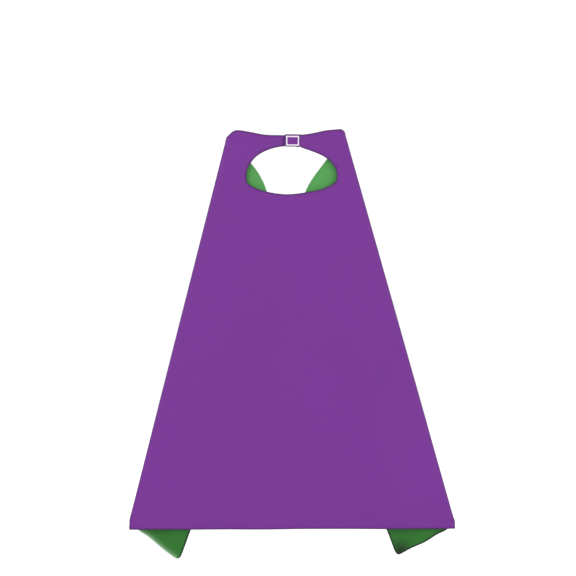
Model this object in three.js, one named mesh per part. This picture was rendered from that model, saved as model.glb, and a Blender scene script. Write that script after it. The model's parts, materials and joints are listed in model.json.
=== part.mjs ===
// A child's costume cape: two layers of satin, folded at both sides, with neck straps that close on
// hook-and-loop. Millimetres, +Z up. The origin is the centre of the neck opening, the outer face
// looks towards -Y, and the fronts hang folded behind the back panel.

import * as THREE from 'three';

// Cloth
const LAYER = 1.0; // thickness of one layer of cloth
const GAP = 0.3; // air between neighbouring layers
const CLOTH = (2 * LAYER + GAP) / 2; // half the thickness of outer cloth and lining together
const FOLD_PITCH = 12; // from the middle of the back panel to the middle of a folded front
const FOLD_CLEARANCE = 1; // from a side fold's axis to the cloth on each side of it
const FRONT_DROP = 2; // from the top of a side fold down to its folded front

// Back panel
const HEM_Z = -630;
const HEM_TILT = 0.9; // the hem's ends are this much higher and lower than its middle
const LEFT_FOLD = { top: [-114, 58.8], foot: [-285.2, -616] };
const RIGHT_FOLD = { top: [92.6, 69.3], foot: [287.3, -620] };

// Neck straps and closure
const ROOT_X = 72; // strap hinges, left and right of the neck opening
const ROOT_CLEARANCE = 2; // from a hinge to the cloth on each side of it
const TAB_HINGE_X = 16.4;
const TAB = { left: -12.6, bottom: 41, top: 62.4, corner: 2 };
const PATCH = { x: 1.6, z: 51.2, width: 19.5, height: 13, thickness: 1.2 };
const BOX = { width: 23.4, height: 17.9, band: 3 };
const LEFT_STRAP_END = 13;

// Thread
const THREAD = 0.4; // how far a row of stitches stands off the cloth
const ROW = 0.8; // width of a row of stitches
const INSET = 4; // from an edge to its row of stitches
const ROW_END = 1; // from a row's end to the end of its piece
const TAB_MARGIN = 2; // from the closure tab to the row of stitches beside it

// The two straps lie in parallel planes, turned so that the closure's layers fit between them.
const CLOSURE_PITCH = 2 * CLOTH + 2 * PATCH.thickness + 3 * GAP;
const STRAP_TURN = Math.asin(CLOSURE_PITCH / (2 * ROOT_X));

const PURPLE = new THREE.MeshStandardMaterial({ color: 0x7c3d98, roughness: 0.5, metalness: 0 });
const GREEN = new THREE.MeshStandardMaterial({ color: 0x3f9a40, roughness: 0.5, metalness: 0 });
const PURPLE_THREAD = new THREE.MeshStandardMaterial({ color: 0x643480, roughness: 0.7, metalness: 0 });
const WHITE_THREAD = new THREE.MeshStandardMaterial({ color: 0xf7edf9, roughness: 0.7, metalness: 0 });
const TAPE = new THREE.MeshStandardMaterial({ color: 0x5a3a70, roughness: 0.9, metalness: 0 });

const CURVE_STEPS = 28;
const ROW_SKIP = { edge: 3, hem: 9 }; // points of an edge without stitches, at its crowded start
const NEAREST = 0.2; // points closer than this to a cut are dropped
const CORNER_CUT = 0.3; // where a rounded corner's middle point lies, as a share of its radius

/** A smooth edge through a few points, as [x, z] pairs. */
function smooth(points, steps = CURVE_STEPS) {
  const curve = new THREE.CatmullRomCurve3(
    points.map(([x, z]) => new THREE.Vector3(x, z, 0)),
    false,
    'centripetal',
  );
  return curve.getPoints(steps).map((p) => [p.x, p.y]);
}

/** The stretch of an edge that runs from x0 to x1, cut exactly there. The edge's x always grows. */
function between(edge, x0, x1) {
  const at = (x) => {
    const i = Math.max(1, edge.findIndex((p) => p[0] >= x));
    const [a, b] = [edge[i - 1], edge[i]];
    return [x, a[1] + ((x - a[0]) / (b[0] - a[0])) * (b[1] - a[1])];
  };
  const inner = edge.filter(([x]) => x > x0 + NEAREST && x < x1 - NEAREST);
  return [at(x0), ...inner, at(x1)];
}

/** The edge moved sideways by d, to the left of its direction. */
function offset(edge, d) {
  return edge.map(([x, z], i) => {
    const [x0, z0] = edge[Math.max(i - 1, 0)];
    const [x1, z1] = edge[Math.min(i + 1, edge.length - 1)];
    const length = Math.hypot(x1 - x0, z1 - z0);
    return [x - (d * (z1 - z0)) / length, z + (d * (x1 - x0)) / length];
  });
}

/** The point on a fold line at height z, moved by dx. */
function onFold({ top, foot }, z, dx = 0) {
  const share = (z - top[1]) / (foot[1] - top[1]);
  return [top[0] + share * (foot[0] - top[0]) + dx, z];
}

function rectangle(x, z, width, height) {
  return [
    [x - width / 2, z - height / 2],
    [x + width / 2, z - height / 2],
    [x + width / 2, z + height / 2],
    [x - width / 2, z + height / 2],
  ];
}

/** A flat layer: the outline in the XZ plane, its front face at y and its back face at y + thickness. */
function layer(group, name, outline, y, thickness, material, hole = null) {
  const path = (points) => points.map(([x, z]) => new THREE.Vector2(x, z));
  const shape = new THREE.Shape(path(outline));
  if (hole) {
    shape.holes.push(new THREE.Path(path(hole)));
  }
  const geometry = new THREE.ExtrudeGeometry(shape, { depth: thickness, bevelEnabled: false });
  geometry.rotateX(Math.PI / 2);
  geometry.translate(0, thickness, 0);
  const mesh = new THREE.Mesh(geometry, material);
  mesh.name = name;
  mesh.position.set(-group.position.x, y, 0);
  group.add(mesh);
}

/** Outer cloth in front, lining behind, around the plane y = 0 of the group. */
function cloth(group, name, outline) {
  layer(group, `outer_${name}`, outline, -CLOTH, LAYER, PURPLE);
  layer(group, `lining_${name}`, outline, CLOTH - LAYER, LAYER, GREEN);
}

/** A row of stitches along an edge, in front of the cloth (side -1) or behind it (side 1). */
function stitches(group, name, edge, side) {
  const row = [...offset(edge, ROW / 2), ...offset(edge, -ROW / 2).reverse()];
  const y = side < 0 ? -CLOTH - GAP - THREAD : CLOTH + GAP;
  layer(group, name, row, y, THREAD, PURPLE_THREAD);
}

// Edges that the pieces share
const topEdge = smooth([
  [-104.5, 67],
  [-97.5, 70],
  [-76.5, 67.6],
  [-47, 62.3],
  [-20, 61.5],
  [14, 61.5],
  [36, 64.4],
  [60, 69.6],
  [86.6, 72],
]);
const neckTop = smooth([
  [-79.4, -10],
  [-76.8, 3.5],
  [-62, 23.8],
  [-35, 37.8],
  [0, 42.3],
  [33, 33.8],
  [62, 20.3],
  [76.6, 3.5],
  [79.4, -10],
]);
const neckBottom = smooth([
  [-79.4, -10],
  [-77.5, -22],
  [-58, -33.5],
  [-14, -42.2],
  [25, -39],
  [60, -30.8],
  [77.6, -19.5],
  [79.4, -10],
]);
const leftFrontEdge = smooth([
  [-113, 58],
  [-94, 38],
  [-72.4, 14],
  [-56.2, -8],
  [-43.4, -38.4],
  [-31, -140],
  [-64, -315],
  [-122, -491],
  [-177.4, -633],
  [-191.2, -670.5],
]);
const rightFrontEdge = smooth([
  [91.6, 68],
  [78, 43],
  [61.7, 19.6],
  [23.7, -38.6],
  [7.7, -140],
  [41, -315],
  [102, -491],
  [167.3, -632.6],
  [181, -668.5],
]);
// The lower edges of the fronts, from the front edge towards the fold
const leftHem = [
  [-196.3, -681],
  [-201.8, -683.2],
  [-217, -673.8],
  [-237.7, -658.5],
  [-254, -645],
  [-272, -632],
];
const rightHem = [
  [184.8, -675],
  [189.3, -677],
  [196, -674.2],
  [211.7, -665.5],
  [233, -655],
  [256, -641.5],
  [272, -634],
];

function backPanel() {
  const group = new THREE.Group();
  const inner = ROOT_X + ROOT_CLEARANCE;
  const neckLeft = between(neckTop, neckTop[0][0], -inner).reverse();
  const neckRight = between(neckTop, inner, neckTop.at(-1)[0]).reverse();
  const outline = [
    ...between(topEdge, inner, topEdge.at(-1)[0]),
    onFold(RIGHT_FOLD, RIGHT_FOLD.top[1], -FOLD_CLEARANCE),
    onFold(RIGHT_FOLD, RIGHT_FOLD.foot[1], -FOLD_CLEARANCE),
    [RIGHT_FOLD.foot[0], HEM_Z + HEM_TILT],
    [LEFT_FOLD.foot[0], HEM_Z - HEM_TILT],
    onFold(LEFT_FOLD, LEFT_FOLD.foot[1], FOLD_CLEARANCE),
    onFold(LEFT_FOLD, LEFT_FOLD.top[1], FOLD_CLEARANCE),
    ...between(topEdge, topEdge[0][0], -inner),
    ...neckLeft,
    ...neckBottom.slice(1, -1),
    ...neckRight,
  ];
  cloth(group, 'back_panel', outline);
  stitches(group, 'neckline_stitching', offset(neckBottom, -INSET), -1);
  const hem = [
    [LEFT_FOLD.foot[0] + INSET, HEM_Z + INSET],
    [RIGHT_FOLD.foot[0] - INSET, HEM_Z + INSET],
  ];
  stitches(group, 'hem_stitching_back', hem, -1);
  return group;
}

/** One front, folded behind the back panel: its lining faces the panel and its outer cloth faces back. */
function front(side, fold, frontEdge, hemPoints) {
  const group = new THREE.Group();
  group.position.y = FOLD_PITCH;
  const inward = side === 'left' ? 1 : -1;
  const foldTop = onFold(fold, fold.top[1] - FRONT_DROP, inward * FOLD_CLEARANCE);
  const foldFoot = onFold(fold, fold.foot[1], inward * FOLD_CLEARANCE);
  const hem = smooth([frontEdge.at(-1), ...hemPoints, foldFoot]);
  const outline = [foldTop, ...frontEdge.slice(1), ...hem.slice(1, -1), foldFoot];
  layer(group, `lining_${side}_front`, outline, -CLOTH, LAYER, GREEN);
  layer(group, `outer_${side}_front`, outline, CLOTH - LAYER, LAYER, PURPLE);
  const inset = -inward * INSET;
  const edgeRow = offset(frontEdge, inset).slice(ROW_SKIP.edge, -1);
  const hemRow = offset(hem, inset).slice(ROW_SKIP.hem, -1);
  stitches(group, `front_edge_stitching_${side}`, edgeRow, 1);
  stitches(group, `hem_stitching_${side}`, hemRow, 1);
  return group;
}

function leftStrap() {
  const group = new THREE.Group();
  group.position.x = -ROOT_X;
  group.rotation.z = STRAP_TURN;
  const start = -ROOT_X + ROOT_CLEARANCE;
  const bottom = between(neckTop, start, LEFT_STRAP_END);
  const top = between(topEdge, start, LEFT_STRAP_END);
  cloth(group, 'left_strap', [...bottom, ...top.reverse()]);
  const row = between(offset(neckTop, INSET), start + ROW_END, TAB.left - TAB_MARGIN);
  stitches(group, 'left_strap_stitching', row, -1);
  const loop = rectangle(PATCH.x, PATCH.z, PATCH.width, PATCH.height);
  layer(group, 'loop_patch', loop, -CLOTH - GAP - PATCH.thickness, PATCH.thickness, TAPE);
  const outer = rectangle(PATCH.x, PATCH.z, PATCH.width, PATCH.height);
  const inner = rectangle(PATCH.x, PATCH.z, PATCH.width - 2 * ROW, PATCH.height - 2 * ROW);
  layer(group, 'loop_patch_stitching', outer, CLOTH + GAP, THREAD, PURPLE_THREAD, inner);
  return group;
}

/** The free end of the right strap, whose group stands at rootX. */
function closureTab(rootX) {
  const group = new THREE.Group();
  group.position.x = TAB_HINGE_X - rootX;
  const right = TAB_HINGE_X - ROOT_CLEARANCE;
  const { left, bottom, top, corner } = TAB;
  const outline = [
    [left + corner, bottom],
    [right, bottom],
    [right, top],
    [left + corner, top],
    [left + corner * CORNER_CUT, top - corner * CORNER_CUT],
    [left, top - corner],
    [left, bottom + corner],
    [left + corner * CORNER_CUT, bottom + corner * CORNER_CUT],
  ].map(([x, z]) => [x - rootX, z]);
  cloth(group, 'closure_tab', outline);
  const x = PATCH.x - rootX;
  const hook = rectangle(x, PATCH.z, PATCH.width, PATCH.height);
  layer(group, 'hook_patch', hook, CLOTH + GAP, PATCH.thickness, TAPE);
  const outer = rectangle(x, PATCH.z, BOX.width, BOX.height);
  const inner = rectangle(x, PATCH.z, BOX.width - 2 * BOX.band, BOX.height - 2 * BOX.band);
  layer(group, 'closure_box_stitching', outer, -CLOTH - GAP - THREAD, THREAD, WHITE_THREAD, inner);
  return group;
}

function rightStrap() {
  const group = new THREE.Group();
  group.position.x = ROOT_X;
  group.rotation.z = STRAP_TURN;
  const start = TAB_HINGE_X + ROOT_CLEARANCE;
  const end = ROOT_X - ROOT_CLEARANCE;
  const bottom = between(neckTop, start, end);
  const top = between(topEdge, start, end);
  cloth(group, 'right_strap', [...bottom, ...top.reverse()]);
  const row = between(offset(neckTop, INSET), start + ROW_END, end - ROW_END);
  stitches(group, 'right_strap_stitching', row, -1);
  group.add(closureTab(ROOT_X));
  return group;
}

const cape = new THREE.Group();
cape.add(backPanel());
cape.add(front('left', LEFT_FOLD, leftFrontEdge, leftHem));
cape.add(front('right', RIGHT_FOLD, rightFrontEdge, rightHem));
cape.add(leftStrap());
cape.add(rightStrap());

export default cape;
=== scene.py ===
"""A child's satin costume cape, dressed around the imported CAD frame. Metres, +Z up, outer face to -Y.

Each stretch of cloth is a Region: a flat cut, and a rule that places any point of the cut in space.
Sheets, stitches and tapes are all laid on the regions by that rule, so that they meet exactly."""

import json
import math
from collections import namedtuple

import bpy
import numpy as np
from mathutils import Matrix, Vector
from mathutils.geometry import delaunay_2d_cdt


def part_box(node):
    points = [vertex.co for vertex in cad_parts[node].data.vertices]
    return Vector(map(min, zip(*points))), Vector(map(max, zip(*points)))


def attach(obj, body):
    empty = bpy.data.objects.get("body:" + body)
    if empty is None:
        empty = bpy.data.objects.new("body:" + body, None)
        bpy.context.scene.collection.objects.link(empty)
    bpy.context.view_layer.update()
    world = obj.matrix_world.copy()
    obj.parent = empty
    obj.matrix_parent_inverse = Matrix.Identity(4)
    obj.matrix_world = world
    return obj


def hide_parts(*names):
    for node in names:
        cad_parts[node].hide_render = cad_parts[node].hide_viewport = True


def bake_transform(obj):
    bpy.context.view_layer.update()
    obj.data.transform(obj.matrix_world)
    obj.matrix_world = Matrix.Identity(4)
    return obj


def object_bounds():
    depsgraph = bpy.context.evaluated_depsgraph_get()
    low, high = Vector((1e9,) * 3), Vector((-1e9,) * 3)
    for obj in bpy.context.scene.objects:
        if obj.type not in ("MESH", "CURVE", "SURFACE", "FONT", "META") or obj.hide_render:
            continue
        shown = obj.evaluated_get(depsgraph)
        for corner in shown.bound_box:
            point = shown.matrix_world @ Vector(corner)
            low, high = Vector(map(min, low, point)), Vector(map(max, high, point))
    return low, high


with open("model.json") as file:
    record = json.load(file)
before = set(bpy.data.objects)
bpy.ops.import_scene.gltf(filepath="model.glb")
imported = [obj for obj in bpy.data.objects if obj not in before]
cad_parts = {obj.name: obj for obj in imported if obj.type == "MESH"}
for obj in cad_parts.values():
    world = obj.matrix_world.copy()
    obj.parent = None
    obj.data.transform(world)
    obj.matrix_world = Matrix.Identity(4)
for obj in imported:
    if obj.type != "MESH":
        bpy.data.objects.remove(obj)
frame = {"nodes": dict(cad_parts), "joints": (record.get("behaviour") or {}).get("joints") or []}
CAD_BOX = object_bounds()

MM = 0.001

# Cloth
SHEET = 0.3 * MM  # thickness of one layer of satin
MESH_STEP = 6 * MM  # spacing of the mesh away from the edges
EDGE_STEP = 3.5 * MM  # spacing of the mesh along an edge
RINGS = (1.0, 2.2, 3.3, 4.0, 4.7, 6.2, 8.6)  # rows of vertices inside an edge, in millimetres
STITCH_INSET = 4.0 * MM  # from the cloth's edge to its topstitching
LINING_INSET = 0.25 * MM  # the lining ends this far inside the outer cloth
STRIP = 6 * MM  # back panel cloth that belongs to a side piece, inwards of the fold's curve
ON_LINE = 1e-6  # nearer than this to a line, a point lies on it
SAME = 1e-7  # nearer than this, two places are one

# Places that the frame gives
JOINTS = {j["name"]: j for j in frame["joints"]}
FOLD_RADIUS = JOINTS["left_front_fold"]["pos_m"][1]
ROOT_X = JOINTS["right_strap_swing"]["pos_m"][0]
TAB_X = JOINTS["closure_tab_peel"]["pos_m"][0]
STRAP_SLOPE = JOINTS["closure_tab_peel"]["pos_m"][1] / (TAB_X - ROOT_X)
BEND = 4 * MM  # half the length over which cloth bends at a strap hinge
ROOT_CUT = ROOT_X + BEND  # where a strap's cloth starts
TAB_CUT = TAB_X + 5.6 * MM  # where the closure tab's cloth starts
HINGE_GAP = 2.1 * MM  # the CAD cloth stops this far short of a strap hinge
HEM_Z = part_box("outer_back_panel")[0].z
FOLD_EDGE = 1.1 * MM  # just inside the CAD cloth's edge beside a fold
FOLD_ARC = math.pi * FOLD_RADIUS


def smoothstep(t):
    t = np.clip(t, 0, 1)
    return t * t * (3 - 2 * t)


# ---------------- outlines, read from the CAD nodes


def cad_outline(node):
    """The outline of a flat CAD layer, as an ordered loop of (x, z) points seen from the front."""
    mesh = frame["nodes"][node].data
    follows = {}
    for face in mesh.polygons:
        if face.normal.y > -0.9:
            continue
        corners = [mesh.vertices[i].co for i in face.vertices]
        keys = [(round(c.x, 6), round(c.z, 6)) for c in corners]
        for a, b in zip(keys, keys[1:] + keys[:1]):
            if follows.get(b) and a in follows[b]:
                follows[b].remove(a)
            else:
                follows.setdefault(a, []).append(b)
    start = next(k for k, v in follows.items() if v)
    loop = [start]
    while True:
        step = follows[loop[-1]].pop()
        if step == start:
            return np.array(loop)
        loop.append(step)


def crossings(loop, x):
    """Heights at which the vertical line at x meets a loop, from low to high."""
    a, b = loop, np.roll(loop, -1, axis=0)
    hit = (a[:, 0] - x) * (b[:, 0] - x) < 0
    share = (x - a[hit, 0]) / (b[hit, 0] - a[hit, 0])
    return np.sort(a[hit, 1] + share * (b[hit, 1] - a[hit, 1]))


def clip(loop, value, keep_above):
    """The part of a loop where value(points) is above (or below) zero."""
    v = value(loop) if keep_above else -value(loop)
    out = []
    for i in range(len(loop)):
        j = (i + 1) % len(loop)
        if v[i] >= 0:
            out.append(loop[i])
        if v[i] * v[j] < 0:
            out.append(loop[i] + (loop[j] - loop[i]) * v[i] / (v[i] - v[j]))
    return np.array(out)


def area_of(loop):
    x, z = loop[:, 0], loop[:, 1]
    return 0.5 * float(np.sum(x * np.roll(z, -1) - z * np.roll(x, -1)))


PANEL = cad_outline("outer_back_panel")
LEFT_STRAP = cad_outline("outer_left_strap")
RIGHT_STRAP = cad_outline("outer_right_strap")
TAB = cad_outline("outer_closure_tab")


class Fold:
    """A side fold: its top, its direction down the cape, and the direction inwards across the panel."""

    def __init__(self, side):
        joint = JOINTS[f"{side}_front_fold"]
        self.sign = -1 if side == "left" else 1
        self.top = np.array([joint["pos_m"][0], joint["pos_m"][2]])
        down = np.array([joint["axis"][0], joint["axis"][2]])
        self.down = down * -np.sign(down[1])
        self.inward = np.array([-self.down[1], self.down[0]]) * -self.sign

    def across(self, points):
        """Distance inwards of the fold."""
        return (points - self.top) @ self.inward

    def along(self, points):
        """Distance down the fold."""
        return (points - self.top) @ self.down

    def at(self, along, across):
        return self.top + np.outer(along, self.down) + np.outer(across, self.inward)


FOLDS = {"left": Fold("left"), "right": Fold("right")}

# ---------------- how the cloth hangs

BACK_FOLDS = 3.6 * MM  # depth of the back panel's soft folds at the hem
BACK_FOLDS_FROM, BACK_FOLDS_GROW = -0.05, 0.62  # height where they start, and how long they grow
SWAG = 0.9 * MM  # how far the cloth sags out below the neck opening
SWAG_Z, SWAG_HIGH, SWAG_WIDE = -0.115, 0.05, 0.12  # its middle, and how far it spreads
FRONT_FOLDS, FRONT_FOLDS_MORE = 0.8, 3.4  # depth of a front's folds at its top, and added below, mm
FRONT_FOLDS_FROM, FRONT_FOLDS_GROW = 0.06, 0.6  # where the added depth starts, and how long it grows
NECK_CLOSER = 3.4 * MM  # how much closer a front lies to the back panel round the neck

def back_drape(points):
    """How far the back panel stands off its plane: soft folds that spread from the neck to the hem."""
    x, z = points[:, 0], points[:, 1]
    left, right = FOLDS["left"].across(points), FOLDS["right"].across(points)
    place = (left - right) / (left + right)
    depth = smoothstep((BACK_FOLDS_FROM - z) / BACK_FOLDS_GROW)
    held = smoothstep((np.minimum(left, right) - 2 * FOLD_RADIUS) / (70 * MM))
    wave = (
        0.50 * np.sin(5.4 * place + 0.5)
        + 0.32 * np.sin(9.7 * place - 1.1 + 0.6 * depth)
        + 0.18 * np.sin(15.1 * place + 2.0 - 0.8 * depth)
    )
    swag = np.exp(-(((z - SWAG_Z) / SWAG_HIGH) ** 2) - (x / SWAG_WIDE) ** 2)
    return BACK_FOLDS * depth * held * wave + SWAG * swag * held


def front_drape(along, past, sign):
    """How far a folded front stands off its plane, at a distance past the fold.

    Round the neck it lies closer to the back panel, and lower down it hangs in soft folds."""
    depth = smoothstep((along - FRONT_FOLDS_FROM) / FRONT_FOLDS_GROW)
    free = smoothstep(past / (45 * MM))
    closer = NECK_CLOSER * (1 - depth) * smoothstep(past / (25 * MM))
    wave = (
        0.62 * np.sin(past / (19 * MM) + 0.8 * sign + 1.2 * depth)
        + 0.38 * np.sin(past / (11 * MM) - 1.7 * sign + 2.1 * depth)
    )
    return (FRONT_FOLDS + FRONT_FOLDS_MORE * depth) * MM * free * wave - closer


def ramp(d, width):
    """Grows from 0 with a slope that eases from 0 to 1 over width."""
    k = np.clip(d / width, 0, 1)
    return width * (k**3 - k**4 / 2) + np.maximum(d - width, 0)


def place_back(points):
    return np.column_stack([points[:, 0], back_drape(points), points[:, 1]])


def place_left_strap(points):
    lean = STRAP_SLOPE * ramp(points[:, 0] + ROOT_CUT, 2 * BEND)
    return np.column_stack([points[:, 0], lean, points[:, 1]])


def place_right_strap(points):
    lean = -STRAP_SLOPE * ramp(ROOT_CUT - points[:, 0], 2 * BEND)
    crease = 0.35 * MM * np.exp(-(((points[:, 0] - TAB_X + HINGE_GAP) / (1.6 * MM)) ** 2))
    return np.column_stack([points[:, 0], lean + crease, points[:, 1]])


def place_side(side):
    """Places (past, along) points: past is measured on the cloth from where the fold's curve starts."""
    fold = FOLDS[side]

    def place(points):
        past, along = points[:, 0], points[:, 1]
        angle = np.clip(past, 0, FOLD_ARC) / FOLD_RADIUS
        beyond = np.maximum(past - FOLD_ARC, 0)
        across = FOLD_RADIUS * (1 - np.sin(angle)) + np.maximum(-past, 0) + beyond
        flat = fold.at(along, across)
        depth = FOLD_RADIUS * (1 - np.cos(angle)) + front_drape(along, beyond, fold.sign)
        depth = np.where(past < 0, back_drape(flat), depth)
        return np.column_stack([flat[:, 0], depth, flat[:, 1]])

    return place


# ---------------- regions of cloth

Region = namedtuple("Region", "name loop place pattern is_cut bodies bend flip columns")


def as_cut(points):
    """The pattern of cloth that lies flat as it was cut."""
    return points


def strap_loop(left_x, right_x, heights, also):
    """A loop between two upright ends, with heights(x) giving its lower and upper edge.

    It has points at the columns in also, and about every 3 mm elsewhere."""
    count = max(int((right_x - left_x) / (3 * MM)), 4)
    inner = [x for x in also if left_x + MM / 2 < x < right_x - MM / 2]
    even = np.linspace(left_x, right_x, count)[1:-1]
    spread = [x for x in even if np.abs(x - also).min() > MM]
    xs = np.sort([left_x, *inner, *spread, right_x])
    pairs = np.array([heights(x) for x in xs])
    low = np.column_stack([xs, pairs[:, 0]])
    high = np.column_stack([xs, pairs[:, 1]])
    return np.vstack([low, high[::-1]])


def bridged(x, near, near_loop, far, far_loop):
    """Lower and upper edge at x, straight across the hinge's gap between the near and far nodes."""
    toward = np.sign(far - near)
    if (x - near) * toward <= 0:
        return top_pair(near_loop, x)
    if (x - far) * toward >= 0:
        return top_pair(far_loop, x)
    share = (x - near) / (far - near)
    nudge = 0.01 * MM * toward
    a, b = top_pair(near_loop, near - nudge), top_pair(far_loop, far + nudge)
    return a + share * (b - a)


def top_pair(loop, x):
    """The two highest edges of a loop at x."""
    return crossings(loop, x)[-2:]


def back_region():
    left, right = FOLDS["left"], FOLDS["right"]
    inner = FOLD_RADIUS + STRIP
    loop = clip(PANEL, lambda p: left.across(p) - inner, True)
    loop = clip(loop, lambda p: right.across(p) - inner, True)
    kept = []
    for a in loop:
        if abs(a[0]) < ROOT_CUT and a[1] > 0:
            cut = np.sign(a[0]) * ROOT_CUT
            low, high = top_pair(PANEL, cut)
            above = a[1] > (low + high) / 2
            point = np.array([cut, high if above else low])
            if not kept or np.abs(kept[-1] - point).max() > SAME:
                kept.append(point)
        else:
            kept.append(a)
    loop = np.array(kept)

    def is_cut(p):
        at_fold = [np.abs(fold.across(p) - inner) < ON_LINE for fold in (left, right)]
        at_root = [(np.abs(p[:, 0] - x) < ON_LINE) & (p[:, 1] > 0) for x in (-ROOT_CUT, ROOT_CUT)]
        return np.column_stack(at_fold + at_root)

    return Region("back_panel", loop, place_back, as_cut, is_cut, ("back_panel",), None, 1, None)


def half_chain(loop, value, towards_top, along):
    """The loop without its stretch on value = 0, from its lower end to its upper end or back."""
    on = np.flatnonzero(np.abs(value(loop)) < SAME)
    heights = along(loop[on])
    top, bottom = on[np.argmin(heights)], on[np.argmax(heights)]
    start, end = (bottom, top) if towards_top else (top, bottom)
    n = len(loop)
    one = [(start + k) % n for k in range((end - start) % n + 1)]
    other = [(start - k) % n for k in range((start - end) % n + 1)]
    chosen = one if np.abs(value(loop[one])).max() > np.abs(value(loop[other])).max() else other
    return loop[chosen]


def round_fold(fold, front, end):
    """An end of the cloth that goes round a fold, easing from the panel's outline to the front's."""
    angles = np.linspace(0, math.pi, 13)[1:-1]
    across = np.maximum(FOLD_RADIUS * (1 - np.sin(angles)), FOLD_EDGE)
    outlines = [np.column_stack([fold.across(p), fold.along(p)]) for p in (PANEL, front)]
    panel_end, front_end = (np.array([crossings(o, c)[end] for c in across]) for o in outlines)
    share = smoothstep(2 * angles / math.pi - 0.5)
    return np.column_stack([angles * FOLD_RADIUS, panel_end * (1 - share) + front_end * share])


def side_region(side):
    fold = FOLDS[side]
    front = cad_outline(f"outer_{side}_front")
    inner = FOLD_RADIUS + STRIP
    at_curve = lambda p: fold.across(p) - FOLD_RADIUS
    near = clip(clip(PANEL, lambda p: fold.across(p) - inner, False), at_curve, True)
    far = clip(front, at_curve, True)
    panel_part = half_chain(near, at_curve, True, fold.along)
    front_part = half_chain(far, at_curve, False, fold.along)
    loop = np.vstack(
        [
            np.column_stack([-at_curve(panel_part), fold.along(panel_part)]),
            round_fold(fold, front, 0),
            np.column_stack([FOLD_ARC + at_curve(front_part), fold.along(front_part)]),
            round_fold(fold, front, -1)[::-1],
        ]
    )

    def is_cut(p):
        return (np.abs(p[:, 0] + STRIP) < ON_LINE)[:, None]

    def pattern(p):
        return fold.at(p[:, 1], FOLD_RADIUS - p[:, 0])

    bodies = ("back_panel", f"{side}_front")
    bend = ((0, 1.2 * MM, 0), (0, 1.1 * FOLD_RADIUS, 0))
    columns = np.concatenate(
        [
            [-STRIP + 2.5 * MM],
            np.arange(-1 * MM, FOLD_ARC + 3 * MM, FOLD_ARC / 12),
            np.arange(FOLD_ARC + 7 * MM, loop[:, 0].max(), MESH_STEP),
        ]
    )
    place = place_side(side)
    return Region(
        f"{side}_front", loop, place, pattern, is_cut, bodies, bend, -fold.sign, columns
    )


STRAP_COLUMNS = np.arange(-ROOT_CUT, ROOT_CUT, 2 * MM)


def bend_columns(start, end):
    """Close columns over a length of cloth that bends."""
    return np.linspace(start, end, math.ceil((end - start) / (1.3 * MM)))


def left_strap_region():
    end = LEFT_STRAP[:, 0].max() - 0.05 * MM
    gap = HINGE_GAP
    heights = lambda x: bridged(x, -ROOT_X - gap, PANEL, -ROOT_X + gap, LEFT_STRAP)
    loop = strap_loop(-ROOT_CUT, end, heights, bend_columns(-ROOT_CUT, -ROOT_X + BEND))
    is_cut = lambda p: (np.abs(p[:, 0] + ROOT_CUT) < ON_LINE)[:, None]
    bend = ((-ROOT_CUT, 0, 0), (-ROOT_X + BEND, 0, 0))
    bodies = ("back_panel", "left_strap")
    return Region("left_strap", loop, place_left_strap, as_cut, is_cut, bodies, bend, 1, STRAP_COLUMNS)


def right_strap_region():
    gap = HINGE_GAP
    heights = lambda x: bridged(x, ROOT_X + gap, PANEL, ROOT_X - gap, RIGHT_STRAP)
    loop = strap_loop(TAB_CUT, ROOT_CUT, heights, bend_columns(ROOT_X - BEND, ROOT_CUT))
    is_cut = lambda p: np.abs(p[:, :1] - [[ROOT_CUT, TAB_CUT]]) < ON_LINE
    bend = ((ROOT_CUT, 0, 0), (ROOT_X - BEND, 0, 0))
    bodies = ("back_panel", "right_strap")
    return Region("right_strap", loop, place_right_strap, as_cut, is_cut, bodies, bend, 1, STRAP_COLUMNS)


def tab_region():
    gap = HINGE_GAP
    left = TAB[:, 0].min() + 0.02 * MM
    corners = [x for x in TAB[:, 0] + 0.01 * MM if left < x < TAB_X - 3 * gap]
    heights = lambda x: bridged(x, TAB_X + gap, RIGHT_STRAP, TAB_X - gap, TAB)
    bend_zone = bend_columns(TAB_X - BEND, TAB_CUT)
    loop = strap_loop(left, TAB_CUT, heights, np.concatenate([corners, bend_zone]))
    is_cut = lambda p: (np.abs(p[:, 0] - TAB_CUT) < ON_LINE)[:, None]
    bend = ((TAB_CUT, 0, 0), (TAB_X - BEND, 0, 0))
    bodies = ("right_strap", "closure_tab")
    return Region("closure_tab", loop, place_right_strap, as_cut, is_cut, bodies, bend, 1, STRAP_COLUMNS)


# ---------------- meshing a region


def distance_to(points, starts, ends):
    """Distance from each point to the nearest of some line segments."""
    best = np.full(len(points), np.inf)
    span = ends - starts
    length2 = np.maximum(np.sum(span**2, axis=1), 1e-18)
    for first in range(0, len(points), 2000):
        p = points[first : first + 2000, None, :]
        share = np.clip(np.sum((p - starts) * span, axis=2) / length2, 0, 1)
        gap = p - (starts + share[..., None] * span)
        best[first : first + 2000] = np.sqrt(np.sum(gap**2, axis=2)).min(axis=1)
    return best


def inside(points, loop):
    """Which points lie inside a loop."""
    a, b = loop, np.roll(loop, -1, axis=0)
    odd = np.zeros(len(points), bool)
    for (ax, az), (bx, bz) in zip(a, b):
        spans = (az > points[:, 1]) != (bz > points[:, 1])
        with np.errstate(divide="ignore", invalid="ignore"):
            x = ax + (points[:, 1] - az) / (bz - az) * (bx - ax)
        odd ^= spans & (points[:, 0] < x)
    return odd


def curved(p0, p1, p2, p3, t):
    """Catmull-Rom point between p1 and p2."""
    a = 2 * p1
    b = p2 - p0
    c = 2 * p0 - 5 * p1 + 4 * p2 - p3
    d = -p0 + 3 * p1 - 3 * p2 + p3
    return 0.5 * (a + b * t + c * t**2 + d * t**3)


def turn_at(a, b, c):
    """Change of direction at b, in degrees."""
    u, v = b - a, c - b
    return abs(math.degrees(math.atan2(u[0] * v[1] - u[1] * v[0], u @ v)))


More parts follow.
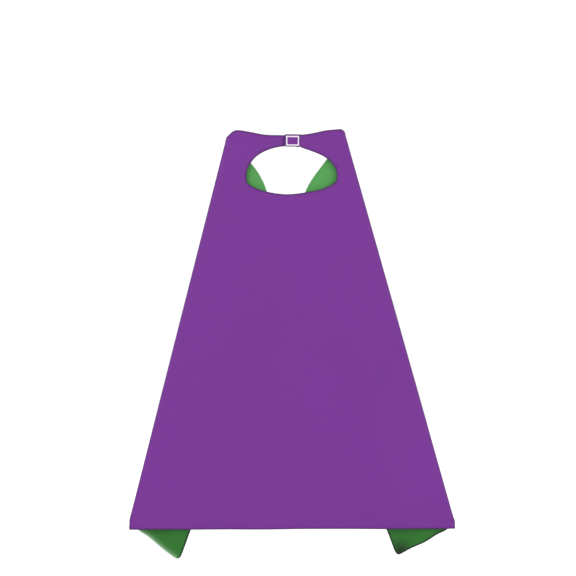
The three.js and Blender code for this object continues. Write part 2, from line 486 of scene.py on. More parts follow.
def square_left(directions):
    """Unit directions turned a quarter turn to the left."""
    turned = np.column_stack([-directions[:, 1], directions[:, 0]])
    return turned / np.linalg.norm(turned, axis=1)[:, None]


class Cut:
    """A region's cloth as a flat mesh: points, triangles, and which boundary points are real edges."""

    CORNER = 24  # a boundary that turns by more than this, in degrees, has a corner there

    def __init__(self, region):
        self.region = region
        loop = region.loop if area_of(region.loop) > 0 else region.loop[::-1]
        self.area = abs(area_of(region.pattern(loop)))
        self.rim, self.rim_cut = self.refine(loop)
        after = np.roll(self.rim, -1, axis=0)
        real = ~self.rim_cut
        self.own_edge = (region.pattern(self.rim[real]), region.pattern(after[real]))
        self.on_edge = real | np.roll(real, 1)
        self.at_corner = real != np.roll(real, 1)
        self.inwards = self.directions_inwards()
        self.fill()

    def directions_inwards(self):
        """Square to the rim. Where a real edge meets a cut, along the cut, so that neighbours agree."""
        before, after = np.roll(self.rim, 1, axis=0), np.roll(self.rim, -1, axis=0)
        inwards = square_left(after - before)
        for i in np.flatnonzero(self.at_corner):
            cut_ahead = self.rim_cut[i]
            along = (after if cut_ahead else before)[i] - self.rim[i]
            along /= np.linalg.norm(along)
            edge = self.rim[i] - before[i] if cut_ahead else after[i] - self.rim[i]
            inwards[i] = along / (along @ square_left(edge[None])[0])
        return inwards

    def refine(self, loop):
        """The loop with close points, and for each point whether the stretch after it is a cut."""
        on_cut = self.region.is_cut(loop)
        n = len(loop)
        points, cut = [], []
        for i in range(n):
            p0, p1, p2, p3 = (loop[(i + k) % n] for k in (-1, 0, 1, 2))
            is_cut = bool(np.any(on_cut[i] & on_cut[(i + 1) % n]))
            steps = max(1, math.ceil(np.linalg.norm(p2 - p1) / EDGE_STEP))
            if turn_at(p0, p1, p2) > self.CORNER or on_cut[i].any():
                p0 = 2 * p1 - p2
            if turn_at(p1, p2, p3) > self.CORNER or on_cut[(i + 1) % n].any():
                p3 = 2 * p2 - p1
            for k in range(steps):
                t = k / steps
                points.append(p1 + (p2 - p1) * t if is_cut else curved(p0, p1, p2, p3, t))
                cut.append(is_cut)
        return np.array(points), np.array(cut)

    def row(self, inset):
        """The real edges moved inwards, and which of their points come too near no other edge."""
        points = self.rim + self.inwards * inset
        after = np.roll(self.rim, -1, axis=0)
        real = ~self.rim_cut
        clear = distance_to(points, self.rim[real], after[real]) > 0.93 * inset
        return points, clear & self.on_edge & (self.at_corner | inside(points, self.rim))

    def fill(self):
        after = np.roll(self.rim, -1, axis=0)
        cuts = (self.rim[self.rim_cut], after[self.rim_cut])
        inner = []
        for ring in RINGS:
            points, keep = self.row(ring * MM)
            inner.append(points[keep & (distance_to(points, *cuts) > 1.1 * MM)])
        lo, hi = self.rim.min(0), self.rim.max(0)
        us = self.region.columns
        if us is None:
            us = np.arange(lo[0], hi[0], MESH_STEP)
        vs = np.arange(lo[1], hi[1], MESH_STEP * 0.866)
        grid = np.stack(np.meshgrid(us[:-1], vs), -1)
        grid[1::2, :, 0] += np.diff(us) / 2
        grid = grid.reshape(-1, 2)
        grid = grid[inside(grid, self.rim)]
        far = distance_to(self.region.pattern(grid), *self.own_edge) > (RINGS[-1] + 2.5) * MM
        far &= distance_to(grid, self.rim, after) > 1.5 * MM
        points = np.vstack([self.rim, *inner, grid[far]])
        border = [list(range(len(self.rim)))]
        vectors = [Vector(p) for p in points]
        found = delaunay_2d_cdt(vectors, [], border, 1, SAME)
        self.points = np.array([tuple(v) for v in found[0]])
        self.triangles = np.array([f for f in found[2] if len(f) == 3])
        origin = {o: i for i, from_input in enumerate(found[3]) for o in from_input}
        self.rim_index = [origin[i] for i in range(len(self.rim))]

    def share_edges(self, others):
        """Measures depth from the true edges of the whole cape, so that neighbours agree at a cut."""
        self.edge = tuple(np.vstack(e) for e in zip(self.own_edge, *(o.own_edge for o in others)))
        self.from_edge = self.depth(self.points)

    def depth(self, points):
        """Distance from the nearest true edge of the cape."""
        return distance_to(self.region.pattern(points), *self.edge)


def on_cloth(region, points):
    """Where points of a region lie in space, and the direction out of its purple side."""
    e = 0.4 * MM
    middle = region.place(points)
    du = region.place(points + [e, 0]) - region.place(points - [e, 0])
    dv = region.place(points + [0, e]) - region.place(points - [0, e])
    normal = np.cross(du, dv) * region.flip
    return middle, normal / np.linalg.norm(normal, axis=1)[:, None]


# Half the distance between outer cloth and lining, in millimetres
LOFT_AT_EDGE, LOFT_MORE = 0.17, 0.05
TURNED_IN, TURNED_IN_WIDTH = 0.30, 7  # added by the turned-in edge, and how wide that is
PULLED_IN, PULLED_IN_WIDTH = 0.26, 0.75  # taken away by the stitches


def loft(from_edge):
    """Half the distance between outer cloth and lining.

    The turned-in edge is thick, and the stitches pull it in."""
    d = from_edge / MM
    turned = TURNED_IN * smoothstep(d / 1.6) * (1 - smoothstep((d - TURNED_IN_WIDTH) / 2.2))
    pulled = PULLED_IN * np.exp(-(((d - STITCH_INSET / MM) / PULLED_IN_WIDTH) ** 2))
    return (LOFT_AT_EDGE + LOFT_MORE * smoothstep(d / 3) + turned - pulled) * MM


def pucker(region, points, from_edge):
    """Small waves that the stitching draws into the cloth along an edge."""
    flat = region.pattern(points) / MM
    phase = 0.42 * flat[:, 0] + 0.37 * flat[:, 1]
    size = 0.22 * np.exp(-(((from_edge / MM - 6) / 5) ** 2))
    return size * (np.sin(phase) + 0.6 * np.sin(0.53 * phase + 1.3)) * MM


def surface(region, points, from_edge, side):
    """Points on the outside of the outer cloth (side 1) or of the lining (side -1)."""
    middle, normal = on_cloth(region, points)
    stand = loft(from_edge) + SHEET / 2
    middle = middle + normal * pucker(region, points, from_edge)[:, None]
    return middle + normal * (side * stand)[:, None], normal * side


# ---------------- making objects


def add_object(name, data):
    made = bpy.data.objects.new(name, data)
    bpy.context.scene.collection.objects.link(made)
    return made


def new_object(name, vertices, faces, material, uv=None, smooth=True):
    mesh = bpy.data.meshes.new(name)
    mesh.from_pydata(np.asarray(vertices).tolist(), [], np.asarray(faces).tolist())
    mesh.polygons.foreach_set("use_smooth", [smooth] * len(mesh.polygons))
    if uv is not None:
        layer = mesh.uv_layers.new(name="cloth")
        index = np.zeros(len(mesh.loops), int)
        mesh.loops.foreach_get("vertex_index", index)
        layer.data.foreach_set("uv", np.asarray(uv)[index].astype(np.float32).ravel())
    mesh.materials.append(material)
    mesh.update()
    return add_object(name, mesh)


def hang(piece, region, slot, *nodes):
    """Makes a piece move with its region's body, or bakes its place into its mesh where it spans two
    bodies, in place of CAD nodes.
    """
    if region.bend is None:
        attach(piece, region.bodies[0])
    else:
        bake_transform(piece)
    if nodes:
        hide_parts(*nodes)


def make_sheet(cut, side, name, material):
    """One layer of satin: side 1 is the outer cloth and side -1 the lining."""
    region, points = cut.region, cut.points.copy()
    if side < 0:
        real = cut.on_edge
        index = np.array(cut.rim_index)[real]
        points[index] += cut.inwards[real] * LINING_INSET
    outside, normal = surface(region, points, cut.from_edge, side)
    inner_face = outside - normal * SHEET
    n = len(points)
    turned = cut.triangles[:, ::-1]
    outwards = cut.triangles if side * region.flip > 0 else turned
    inwards = (turned if side * region.flip > 0 else cut.triangles) + n
    rim = cut.rim_index
    walls = []
    for a, b in zip(rim, rim[1:] + rim[:1]):
        walls += [[a, a + n, b + n], [a, b + n, b]]
    walls = np.array(walls)
    walls = walls if side * region.flip > 0 else walls[:, ::-1]
    faces = np.vstack([outwards, inwards, walls])
    uv = np.vstack([region.pattern(points)] * 2)
    made = new_object(name, np.vstack([outside, inner_face]), faces, material, uv)
    # a value per point that paints shade (below 1) and highlight (above 1) into the satin's colour
    tone = made.data.attributes.new("seam", "FLOAT", "POINT")
    tone.data.foreach_set("value", np.tile(painted_shade_and_highlight(cut, side), 2).astype(np.float32))
    keep_cuts_crisp(made.data, cut, n)
    return made


OUTER_SEAM_SHADE = (0.4 * MM, 2.8 * MM)  # where the painted shade at a sewn edge ends, and how wide it eases
LINING_SEAM_SHADE = (0.8 * MM, 4 * MM)
LINING_SHADE_Z, LINING_SHADE_GROW = -0.2, 0.3  # the painted shade at the lining's sewn edges shows only below this height
FOLD_SHADE = 6 * MM  # half the width of the painted shade along a side fold
TIP_SHADE = 36 * MM  # how far the painted shade on the right front's tip reaches
HEM_HIGHLIGHT, HEM_HIGHLIGHT_FADE, HEM_HIGHLIGHT_GAIN = 12 * MM, 4.5 * MM, 0.65  # the painted highlight on the left front's hem


def painted_shade_and_highlight(cut, side):
    """Painted shade and highlight: 1 in the open cloth, falling to 0 as painted shade at a sewn edge and
    along a pressed fold.

    The lining takes this painted shade only low down. There the right front's tip gets painted shade
    where it turns away from the light, and the left front's hem a painted highlight where it curls
    towards it: above 1 the cloth is lighter."""
    name = cut.region.name
    margin, width = OUTER_SEAM_SHADE if side > 0 else LINING_SEAM_SHADE
    # painted shade near the sewn edges
    tone = smoothstep((cut.from_edge - margin) / width)
    if name.endswith("front"):
        # painted shade along the side fold
        from_fold = np.abs(cut.points[:, 0] - FOLD_ARC / 2)
        tone = np.minimum(tone, smoothstep(from_fold / FOLD_SHADE))
    if side > 0:
        return tone
    # on the lining the painted shade at the edges shows only low down
    height = cut.region.place(cut.points)[:, 2]
    tone = 1 - (1 - tone) * smoothstep((LINING_SHADE_Z - height) / LINING_SHADE_GROW)
    tip = cut.rim[np.argmax(cut.rim[:, 1])]
    # painted shade on the right front's tip
    if name == "right_front":
        from_tip = np.linalg.norm(cut.points - tip, axis=1)
        tone = np.minimum(tone, smoothstep(from_tip / TIP_SHADE))
    # painted highlight along the left front's hem, where it curls towards the light
    if name == "left_front":
        after = np.roll(cut.rim, -1, axis=0)
        past, along = cut.rim[:, 0], cut.rim[:, 1]
        is_hem = (past < tip[0]) & (past > FOLD_ARC) & (along > tip[1] / 2)
        from_hem = distance_to(cut.points, cut.rim[is_hem], after[is_hem])
        near = 1 - smoothstep(from_hem / HEM_HIGHLIGHT)
        highlight = 1 + HEM_HIGHLIGHT_GAIN * np.exp(-from_hem / HEM_HIGHLIGHT_FADE)
        tone = tone * (1 - near) + highlight * near
    return tone


def keep_cuts_crisp(mesh, cut, layer):
    """Marks the rim of the cuts as sharp, so that the cloth's shading runs on into its neighbour's."""
    rim = cut.rim_index
    cuts = {
        tuple(sorted((rim[i] + k, rim[(i + 1) % len(rim)] + k)))
        for i in np.flatnonzero(cut.rim_cut)
        for k in (0, layer)
    }
    for edge in mesh.edges:
        edge.use_edge_sharp = tuple(sorted(edge.vertices)) in cuts


def declare_sheet(cut):
    flat = cut.region.pattern(cut.rim)


# ---------------- thread

STITCH_PITCH, STITCH_RADIUS = 3.4 * MM, 0.24 * MM  # the topstitching
STITCH_RISE = 0.16 * MM  # how far a stitch stands up from the cloth
STITCH_GAP = 0.09  # share of the pitch between a stitch's end and the needle hole
PATCH_PITCH, PATCH_RADIUS = 2.4 * MM, 0.22 * MM  # the stitches round the loop patch
ZIGZAG_RADIUS, ZIGZAG_RISE = 0.34 * MM, 0.32 * MM
BOX_BAND, BOX_PITCH = 3 * MM, 0.56 * MM  # the white box's line, and its stitches
TAB_ROW = TAB_X - HINGE_GAP  # the row of stitches across the tab's root
TAB_ROW_BAND, TAB_ROW_PITCH, TAB_ROW_MARGIN = 1.8 * MM, 0.62 * MM, 1.5 * MM

THREAD_SIDES = 6
THREAD_RINGS = (-0.5, -0.36, 0.0, 0.36, 0.5)


def joined(parts):
    """Several (vertices, faces) pairs as one."""
    before = np.cumsum([0] + [len(vertices) for vertices, _ in parts[:-1]])
    faces = [f + count for (_, f), count in zip(parts, before)]
    return np.vstack([vertices for vertices, _ in parts]), np.vstack(faces)


def stitch_mesh(starts, ends, normals, radius, rise):
    """Stitches from start to end, each a bowed length of thread whose ends dip into the cloth."""
    along = ends - starts
    length = np.linalg.norm(along, axis=1)[:, None]
    along = along / length
    normals = normals - along * np.sum(normals * along, axis=1)[:, None]
    normals /= np.linalg.norm(normals, axis=1)[:, None]
    across = np.cross(along, normals)
    middle = (starts + ends) / 2
    angles = np.arange(THREAD_SIDES) * 2 * math.pi / THREAD_SIDES
    rings = []
    for place in THREAD_RINGS:
        bow = 1 - (2 * place) ** 4
        centre = middle + along * length * place + normals * (rise * bow - 0.6 * radius)
        girth = radius * (0.55 + 0.45 * bow)
        for angle in angles:
            rings.append(centre + girth * (math.cos(angle) * across + math.sin(angle) * normals))
    per = len(THREAD_RINGS) * THREAD_SIDES
    vertices = np.stack(rings, axis=1).reshape(-1, 3)
    quads = []
    for r in range(len(THREAD_RINGS) - 1):
        for k in range(THREAD_SIDES):
            a, b = r * THREAD_SIDES + k, r * THREAD_SIDES + (k + 1) % THREAD_SIDES
            quads.append([a, a + THREAD_SIDES, b + THREAD_SIDES, b])
    last = per - THREAD_SIDES
    quads += [[0, 1, 2, 3], [0, 3, 4, 5]]
    quads += [[last + 3, last + 2, last + 1, last], [last + 5, last + 4, last + 3, last]]
    faces = (np.array(quads)[None] + per * np.arange(len(starts))[:, None, None]).reshape(-1, 4)
    return vertices, faces


def runs_of(points, keep):
    """The stretches of consecutive kept points of a closed row."""
    if keep.all():
        return [np.vstack([points, points[:1]])]
    first = int(np.flatnonzero(~keep)[0])
    order = [(first + k) % len(points) for k in range(len(points))]
    runs, run = [], []
    for i in order:
        if keep[i]:
            run.append(points[i])
        elif run:
            runs.append(np.array(run))
            run = []
    if run:
        runs.append(np.array(run))
    return [r for r in runs if len(r) > 3]


def spaced(path, step):
    """Points evenly spaced along a path."""
    reach = np.concatenate([[0], np.cumsum(np.linalg.norm(np.diff(path, axis=0), axis=1))])
    count = max(2, int(round(reach[-1] / step)) + 1)
    at = np.linspace(0, reach[-1], count)
    return np.column_stack([np.interp(at, reach, path[:, k]) for k in range(path.shape[1])])


def stitches(cut, starts, ends, side, radius, rise):
    """Stitches between places on a region, on one side of the cloth."""
    a, normal = surface(cut.region, starts, cut.depth(starts), side)
    b, _ = surface(cut.region, ends, cut.depth(ends), side)
    return stitch_mesh(a, b, normal, radius, rise)


def sew(cut, path, pitch, radius, side):
    """Stitches one after the other along a path on a region, on one side of the cloth."""
    points = spaced(path, pitch)
    starts = points[:-1] + (points[1:] - points[:-1]) * STITCH_GAP
    ends = points[1:] + (points[:-1] - points[1:]) * STITCH_GAP
    return stitches(cut, starts, ends, side, radius, STITCH_RISE)


def make_rows(name, cut, wanted, *nodes):
    """The rows of topstitching inside the real edges of a region, where wanted(points) says so.

    The needle's thread shows on the outer cloth, and the bobbin's thread, in green, on the lining."""
    points, keep = cut.row(STITCH_INSET)
    runs = runs_of(points, keep & wanted(points))
    for side, ending, material, slot, replaced in (
        (1, "stitches", PURPLE_THREAD, "purple_thread", nodes),
        (-1, "bobbin_stitches", GREEN_THREAD, "lining_satin", ()),
    ):
        rows = joined([sew(cut, run, STITCH_PITCH, STITCH_RADIUS, side) for run in runs])
        made = new_object(f"{name}_{ending}", *rows, material)
        hang(made, cut.region, slot, *replaced)


# ---------------- materials


def node_material(name, colour, roughness, specular, sheen=0.0):
    """A material with its shader, ready for bump and colour nodes."""
    material = bpy.data.materials.new(name)
    material.use_nodes = True
    shader = material.node_tree.nodes["Principled BSDF"]
    shader.inputs["Base Color"].default_value = (*colour, 1)
    shader.inputs["Roughness"].default_value = roughness
    shader.inputs["Specular IOR Level"].default_value = specular
    shader.inputs["Sheen Weight"].default_value = sheen
    shader.inputs["Sheen Roughness"].default_value = 0.35
    return material, material.node_tree, shader


def add_node(tree, kind, values=(), **settings):
    node = tree.nodes.new(kind)
    for key, value in settings.items():
        setattr(node, key, value)
    for key, value in values:
        node.inputs[key].default_value = value
    return node


def cloth_coordinates(tree, scale=(1, 1, 1)):
    """Metres along the cut cloth, stretched by scale."""
    uv = add_node(tree, "ShaderNodeUVMap", uv_map="cloth")
    mapping = add_node(tree, "ShaderNodeMapping", [("Scale", scale)])
    tree.links.new(uv.outputs["UV"], mapping.inputs["Vector"])
    return mapping.outputs["Vector"]


def noise(tree, vector, scale, detail=3.0):
    node = add_node(tree, "ShaderNodeTexNoise", [("Scale", scale), ("Detail", detail)])
    tree.links.new(vector, node.inputs["Vector"])
    return node.outputs["Fac"]


def bump(tree, height, distance, strength, under=None):
    node = add_node(tree, "ShaderNodeBump", [("Distance", distance), ("Strength", strength)])
    tree.links.new(height, node.inputs["Height"])
    if under is not None:
        tree.links.new(under, node.inputs["Normal"])
    return node.outputs["Normal"]


HIGHLIGHT_ADD = 0.45  # added to the satin's colour as a painted highlight where it curls towards the light
HEM_SHADE_Z = -0.12  # below this height the lining's colour eases into a painted shade, darkest at the hem


def satin(name, dark, light, seam, shade_at_hem=None):
    """Polyester satin: long floats along the warp, slubs, faint wrinkles and a soft change of tone."""
    material, tree, shader = node_material(name, light, 0.46, 0.22, 0.12)
    shader.inputs["Sheen Tint"].default_value = (*light, 1)
    plain = cloth_coordinates(tree)
    tone = noise(tree, plain, 5.0, 2.0)
    slub = noise(tree, cloth_coordinates(tree, (900, 24, 1)), 1.0, 2.0)
    blend = add_node(tree, "ShaderNodeMixRGB", [("Color1", (*dark, 1)), ("Color2", (*light, 1))])
    ramp_node = add_node(tree, "ShaderNodeMath", [(1, 0.25)], operation="MULTIPLY_ADD")
    tree.links.new(slub, ramp_node.inputs[0])
    tree.links.new(tone, ramp_node.inputs[2])
    tree.links.new(ramp_node.outputs[0], blend.inputs["Fac"])
    colour = blend.outputs["Color"]
    # painted shade on the lining, darker towards the hem
    if shade_at_hem is not None:
        colour = painted_shade_below(tree, colour, shade_at_hem)
    # painted shade and painted highlight from the cloth's value per point
    colour = with_painted_light(tree, colour, seam, [HIGHLIGHT_ADD + c for c in light])
    tree.links.new(colour, shader.inputs["Base Color"])
    waves = [("Scale", 1.0), ("Distortion", 0.6), ("Detail", 1.0)]
    weave = add_node(tree, "ShaderNodeTexWave", waves)
    tree.links.new(cloth_coordinates(tree, (420, 60, 1)), weave.inputs["Vector"])
    wrinkles = noise(tree, plain, 26.0, 3.0)
    crinkle = noise(tree, cloth_coordinates(tree, (140, 60, 1)), 1.0, 3.0)
    normal = bump(tree, wrinkles, 0.9 * MM, 0.35)
    normal = bump(tree, crinkle, 0.12 * MM, 0.5, normal)
    normal = bump(tree, weave.outputs["Fac"], 0.05 * MM, 0.5, normal)
    tree.links.new(normal, shader.inputs["Normal"])
    return material


def with_painted_light(tree, colour, seam, highlight_colour):
    """The colour with painted shade and painted highlight by the cloth's tone: times the shade factor at
    0, itself at 1, and above 1 mixed towards the highlight colour.
    """
    tone = add_node(tree, "ShaderNodeAttribute", attribute_name="seam")
    span = add_node(tree, "ShaderNodeMapRange", [("To Min", seam), ("To Max", 1.0)])
    tree.links.new(tone.outputs["Fac"], span.inputs["Value"])
    dark = add_node(tree, "ShaderNodeVectorMath", operation="SCALE")
    tree.links.new(colour, dark.inputs[0])
    tree.links.new(span.outputs["Result"], dark.inputs["Scale"])
    above = add_node(tree, "ShaderNodeMath", [(1, 1.0)], operation="SUBTRACT", use_clamp=True)
    tree.links.new(tone.outputs["Fac"], above.inputs[0])
    mix = add_node(tree, "ShaderNodeMixRGB", [("Color2", (*highlight_colour, 1))])
    tree.links.new(above.outputs[0], mix.inputs["Fac"])
    tree.links.new(dark.outputs["Vector"], mix.inputs["Color1"])
    return mix.outputs["Color"]


def painted_shade_below(tree, colour, shade_at_hem):
    """The colour, easing into a painted shade towards the cape's hem."""
    place = add_node(tree, "ShaderNodeTexCoord")
    split = add_node(tree, "ShaderNodeSeparateXYZ")
    tree.links.new(place.outputs["Object"], split.inputs["Vector"])
    ends = [("From Min", HEM_SHADE_Z), ("From Max", HEM_Z), ("To Min", 0.0), ("To Max", 1.0)]
    span = add_node(tree, "ShaderNodeMapRange", ends)
    tree.links.new(split.outputs["Z"], span.inputs["Value"])
    mix = add_node(tree, "ShaderNodeMixRGB", [("Color2", (*shade_at_hem, 1))])
    tree.links.new(span.outputs["Result"], mix.inputs["Fac"])
    tree.links.new(colour, mix.inputs["Color1"])
    return mix.outputs["Color"]


def mottled(tree, shader, colour, share, by):
    """Colours the shader between a darker share of a colour and the colour itself."""
    dark = tuple(share * c for c in colour)
    ends = [("Color1", (*dark, 1)), ("Color2", (*colour, 1))]
    shade = add_node(tree, "ShaderNodeMixRGB", ends)
    tree.links.new(by, shade.inputs["Fac"])
    tree.links.new(shade.outputs["Color"], shader.inputs["Base Color"])


def thread(name, colour):
    """Spun thread: fine fibres twisted round its length."""
    material, tree, shader = node_material(name, colour, 0.6, 0.3, 0.3)
    place = add_node(tree, "ShaderNodeTexCoord")
    fibres = noise(tree, place.outputs["Object"], 4200.0, 2.0)
    mottled(tree, shader, colour, 0.72, fibres)
    tree.links.new(bump(tree, fibres, 0.08 * MM, 0.6), shader.inputs["Normal"])
    return material


def tape(name, colour):
    """Woven nylon tape."""
    material, tree, shader = node_material(name, colour, 0.65, 0.35, 0.2)
    place = add_node(tree, "ShaderNodeTexCoord")
    weave = add_node(tree, "ShaderNodeTexChecker", [("Scale", 1400.0)])
    tree.links.new(place.outputs["Object"], weave.inputs["Vector"])
    mottled(tree, shader, colour, 0.7, noise(tree, place.outputs["Object"], 700.0, 2.0))
    tree.links.new(bump(tree, weave.outputs["Fac"], 0.1 * MM, 0.5), shader.inputs["Normal"])
    return material


# The last number of each satin is how dark its painted shade gets; the green's last colour is a painted
# shade towards its hem.
PURPLE_SATIN = satin("purple_satin", (0.122, 0.017, 0.198), (0.141, 0.020, 0.228), 0.3)
GREEN_SATIN = satin(
    "green_satin", (0.061, 0.254, 0.058), (0.072, 0.286, 0.069), 0.04, (0.016, 0.128, 0.014)
)
PURPLE_THREAD = thread("purple_thread", (0.090, 0.016, 0.150))
# a real row of stitches, whose thread is made this dark to paint the shade line beside the white box
SHADE_DARK_THREAD = thread("dark_purple_thread", (0.040, 0.010, 0.062))
GREEN_THREAD = thread("green_thread", (0.035, 0.190, 0.035))
WHITE_THREAD = thread("white_thread", (0.88, 0.80, 0.90))
TAPE = tape("dark_tape", (0.085, 0.025, 0.130))


# ---------------- the cape's cloth

CUTS = {
    region.name: Cut(region)
    for region in (
        back_region(),
        side_region("left"),
        side_region("right"),
        left_strap_region(),
        right_strap_region(),
        tab_region(),
    )
}


APART = {  # pieces that overlap without touching along an edge
    "left_strap": ("right_strap", "closure_tab"),
    "right_strap": ("left_strap",),
    "closure_tab": ("left_strap",),
}
for name, cut in CUTS.items():
    cut.share_edges([c for n, c in CUTS.items() if n != name and n not in APART.get(name, ())])


def make_cloth():
    for name, cut in CUTS.items():
        for side, layer, material, slot in (
            (1, "outer", PURPLE_SATIN, "outer_satin"),
            (-1, "lining", GREEN_SATIN, "lining_satin"),
        ):
            piece = make_sheet(cut, side, f"{layer}_cloth_{name}", material)
            hang(piece, cut.region, slot, f"{layer}_{name}")
            declare_sheet(cut)


def make_topstitching():
    anywhere = lambda p: np.ones(len(p), bool)
    hem = lambda p: p[:, 1] < HEM_Z + 2 * STITCH_INSET
    clear_of_tab = lambda p: p[:, 0] < TAB[:, 0].min() - 2 * MM
    back = CUTS["back_panel"]
    make_rows("hem", back, hem, "hem_stitching_back")
    make_rows("neckline", back, lambda p: ~hem(p), "neckline_stitching")
    for side in ("left", "right"):
        cut = CUTS[f"{side}_front"]
        nodes = [f"front_edge_stitching_{side}", f"hem_stitching_{side}"]
        make_rows(f"{side}_front_edge", cut, anywhere, *nodes)
    make_rows("left_strap", CUTS["left_strap"], clear_of_tab, "left_strap_stitching")
    make_rows("right_strap", CUTS["right_strap"], anywhere, "right_strap_stitching")


make_cloth()
make_topstitching()

# ---------------- closure


def node_centre(node):
    low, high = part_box(node)
    return np.array([(low.x + high.x) / 2, (low.z + high.z) / 2])


def node_size(node):
    low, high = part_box(node)
    return np.array([high.x - low.x, high.z - low.z])


def box_path(centre, size, inset):
    """A rectangle inside a node's outline, from its lower left corner round and back."""
    half = size / 2 - inset
    corners = np.array([[-1, -1], [1, -1], [1, 1], [-1, 1], [-1, -1]])
    return centre + corners * half


def zigzag(path, band, overrun, pitch):
    """Starts and ends of the stitches that fill a band along a path, from side to side."""
    starts, ends = [], []
    half = band / 2 - 0.7 * ZIGZAG_RADIUS
    for a, b in zip(path[:-1], path[1:]):
        along = (b - a) / np.linalg.norm(b - a)
        across = np.array([-along[1], along[0]])
        row = spaced(np.array([a - along * overrun, b + along * overrun]), pitch)
        ends.append(row[1:] + across * half)
        starts.append(row[:-1] - across * half)
    return np.vstack(starts), np.vstack(ends)


def make_zigzag(name, cut, starts, ends, sides, material, slot, *nodes):
    """Dense zigzag stitching through the cloth, seen on the given sides."""
    parts = [stitches(cut, starts, ends, side, ZIGZAG_RADIUS, ZIGZAG_RISE) for side in sides]
    made = new_object(name, *joined(parts), material)
    hang(made, cut.region, slot, *nodes)


def make_closure_stitching():
    """The white box of stitches through the tab, and the dark purple row across the tab's root, whose
    dark thread also paints the shade line beside the box.
    """
    cut = CUTS["closure_tab"]
    node = "closure_box_stitching"
    path = box_path(node_centre(node), node_size(node), BOX_BAND / 2)
    starts, ends = zigzag(path, BOX_BAND, BOX_BAND / 2 - ZIGZAG_RADIUS, BOX_PITCH)
    make_zigzag(
        "closure_box_stitches", cut, starts, ends, (1, -1), WHITE_THREAD, "white_thread", node
    )
    low, high = top_pair(TAB, TAB_ROW - 0.1 * MM)
    path = np.array([[TAB_ROW, low + TAB_ROW_MARGIN], [TAB_ROW, high - TAB_ROW_MARGIN]])
    starts, ends = zigzag(path, TAB_ROW_BAND, 0, TAB_ROW_PITCH)
    # the dark thread also paints the shade line beside the white box
    make_zigzag("tab_root_stitches", cut, starts, ends, (1,), SHADE_DARK_THREAD, "purple_thread")


# Heights over the middle of the cloth: a tape's back, its face, and the tips of its hooks or loops
TAPE_BACK, TAPE_FACE, PILE_TIP = 0.45 * MM, 1.45 * MM, 2.72 * MM
PILE_ROOT = 0.1 * MM  # how deep the hooks and loops start in the tape
PILE_PITCH = 1.25 * MM
PILE_MARGIN = 2.2 * MM  # tape without hooks or loops, both sides together
YARN_RADIUS = 0.11 * MM
TAPE_CORNER = 1.2 * MM
PATCH_ROW_INSET = 1.0 * MM  # from the loop patch's edge to its stitches
LOOP_TURN = 2.399  # each loop is turned this much from the one before it, in radians
# A hook's and a loop's bends: sideways and up, as shares of its height
HOOK_BENDS = ((0, 0), (0, 0.75), (0.3, 1.0), (0.55, 0.8), (0.5, 0.55))
LOOP_BENDS = ((-0.35, 0), (-0.42, 0.6), (0, 1.0), (0.42, 0.6), (0.35, 0))


def slab(cut, node, side):
    """A tape with rounded corners on one side of a region."""
    centre, half, corner = node_centre(node), node_size(node) / 2, TAPE_CORNER
    outline = []
    for sx, sz, turn in ((1, 1, 0), (-1, 1, 90), (-1, -1, 180), (1, -1, 270)):
        middle = centre + np.array([sx, sz]) * (half - corner)
        for angle in np.radians(turn + np.linspace(0, 90, 6)):
            outline.append(middle + corner * np.array([math.cos(angle), math.sin(angle)]))
    outline = np.array(outline)
    rings = [(0.0, TAPE_BACK), (0.0, TAPE_FACE - 0.15 * MM), (0.25 * MM, TAPE_FACE)]
    vertices, faces, n = [], [], len(outline)
    for inset, height in rings:
        ring = centre + (outline - centre) * (1 - inset / half.min())
        middle, normal = on_cloth(cut.region, ring)
        vertices.append(middle + normal * side * height)
    for r in range(len(rings) - 1):
        for k in range(n):
            a, b = r * n + k, r * n + (k + 1) % n
            faces.append([a, b, b + n, a + n])
    top = [2 * n + k for k in range(n)]
    bottom = list(range(n))[::-1]
    return np.vstack(vertices), [*faces, top, bottom]


def pile(cut, node, side, hooked):
    """Hooks or loops standing on a tape: bent lengths of fine yarn, each turned its own way."""
    centre, size = node_centre(node), node_size(node) - PILE_MARGIN
    base, height = TAPE_FACE - PILE_ROOT, PILE_TIP - TAPE_FACE
    us = np.arange(-size[0] / 2, size[0] / 2, PILE_PITCH)
    vs = np.arange(-size[1] / 2, size[1] / 2, PILE_PITCH)
    grid = centre + np.stack(np.meshgrid(us, vs), -1).reshape(-1, 2)
    middle, normal = on_cloth(cut.region, grid)
    order = np.arange(len(grid))
    turn = math.pi * (order % 2) if hooked else order * LOOP_TURN
    right = np.column_stack([np.ones(len(grid)), np.zeros(len(grid)), np.zeros(len(grid))])
    up = np.cross(normal, right)
    lean = right * np.cos(turn)[:, None] + up * np.sin(turn)[:, None]
    bends = HOOK_BENDS if hooked else LOOP_BENDS
    parts = []
    for (s0, h0), (s1, h1) in zip(bends[:-1], bends[1:]):
        a = middle + normal * side * (base + h0 * height) + lean * s0 * height
        b = middle + normal * side * (base + h1 * height) + lean * s1 * height
        out = np.cross(b - a, np.cross(lean, normal))
        parts.append(stitch_mesh(a, b, out, YARN_RADIUS, 0.0))
    return joined(parts)


def make_tape(name, cut, node, side, hooked):
    """A patch of hook tape or loop tape on the side of a region that faces the other patch."""
    vertices, faces = slab(cut, node, side)
    yarn, yarn_faces = pile(cut, node, side, hooked)
    if side < 0:
        faces = [f[::-1] for f in faces]
    faces += (yarn_faces + len(vertices)).tolist()
    mesh = bpy.data.meshes.new(name)
    mesh.from_pydata(np.vstack([vertices, yarn]).tolist(), [], faces)
    mesh.materials.append(TAPE)
    hang(add_object(name, mesh), cut.region, "hook_and_loop_tape", node)


def make_loop_stitching():
    cut = CUTS["left_strap"]
    path = box_path(node_centre("loop_patch"), node_size("loop_patch"), PATCH_ROW_INSET)
    sides = [np.array([a, b]) for a, b in zip(path[:-1], path[1:])]
    rows = joined([sew(cut, line, PATCH_PITCH, PATCH_RADIUS, -1) for line in sides])
    made = new_object("loop_tape_stitches", *rows, PURPLE_THREAD)
    hang(made, cut.region, "purple_thread", "loop_patch_stitching")


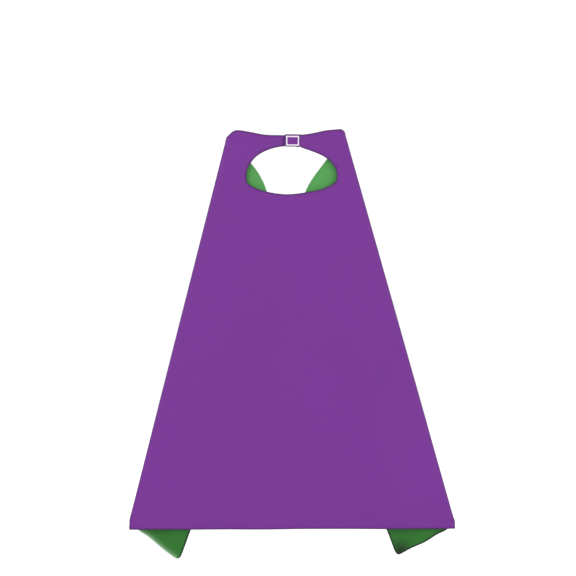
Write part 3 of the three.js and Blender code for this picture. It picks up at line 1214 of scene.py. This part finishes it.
make_closure_stitching()
make_tape("hook_tape", CUTS["closure_tab"], "hook_patch", -1, True)
make_tape("loop_tape", CUTS["left_strap"], "loop_patch", 1, False)
make_loop_stitching()

# ---------------- floor, light and camera

LOWEST = CAD_BOX[0].z
VIEW_WIDTH = 1.0103  # what the camera takes in at the cape's plane
VIEW_CENTRE = Vector((-0.0063, 0, -0.2068))
LENS = 85
SENSOR = 36
FLOOR_HALF, FLOOR_DROP = 60.0, 0.12  # half the floor's width, and how far it lies below the cape
WORLD_STRENGTH = 1.04
LAMP_TARGET = Vector((0, 0, -0.28))
LAMPS = (  # name, place, watts, size
    ("key", (-1.6, -2.6, 1.0), 22, 1.2),
    ("fill", (1.8, -2.5, 0.1), 13, 1.5),
    ("back_key", (1.5, 2.6, 1.0), 22, 1.2),
    ("back_fill", (-1.8, 2.5, 0.1), 13, 1.5),
)


def make_floor():
    half, z = FLOOR_HALF, LOWEST - FLOOR_DROP
    corners = [(-half, -half, z), (half, -half, z), (half, half, z), (-half, half, z)]
    material = node_material("pale_floor", (0.97, 0.97, 0.97), 0.8, 0.1)[0]
    floor = new_object("floor", corners, [[0, 1, 2, 3]], material, smooth=False)


def make_world():
    world = bpy.data.worlds.new("studio")
    world.use_nodes = True
    background = world.node_tree.nodes["Background"].inputs
    background["Color"].default_value = (1, 1, 1, 1)
    background["Strength"].default_value = WORLD_STRENGTH
    bpy.context.scene.world = world


def make_light(name, place, power, size):
    data = bpy.data.lights.new(name, "AREA")
    data.energy = power
    data.size = size
    lamp = add_object(name, data)
    lamp.location = place
    lamp.rotation_euler = (LAMP_TARGET - Vector(place)).to_track_quat("-Z", "Y").to_euler()


def make_camera():
    data = bpy.data.cameras.new("camera")
    data.lens = LENS
    data.sensor_width = SENSOR
    camera = add_object("camera", data)
    camera.location = VIEW_CENTRE - Vector((0, VIEW_WIDTH * LENS / SENSOR, 0))
    camera.rotation_euler = (math.pi / 2, 0, 0)
    bpy.context.scene.camera = camera


make_floor()
make_world()
for lamp in LAMPS:
    make_light(*lamp)
make_camera()
bpy.context.scene.view_settings.view_transform = "Standard"
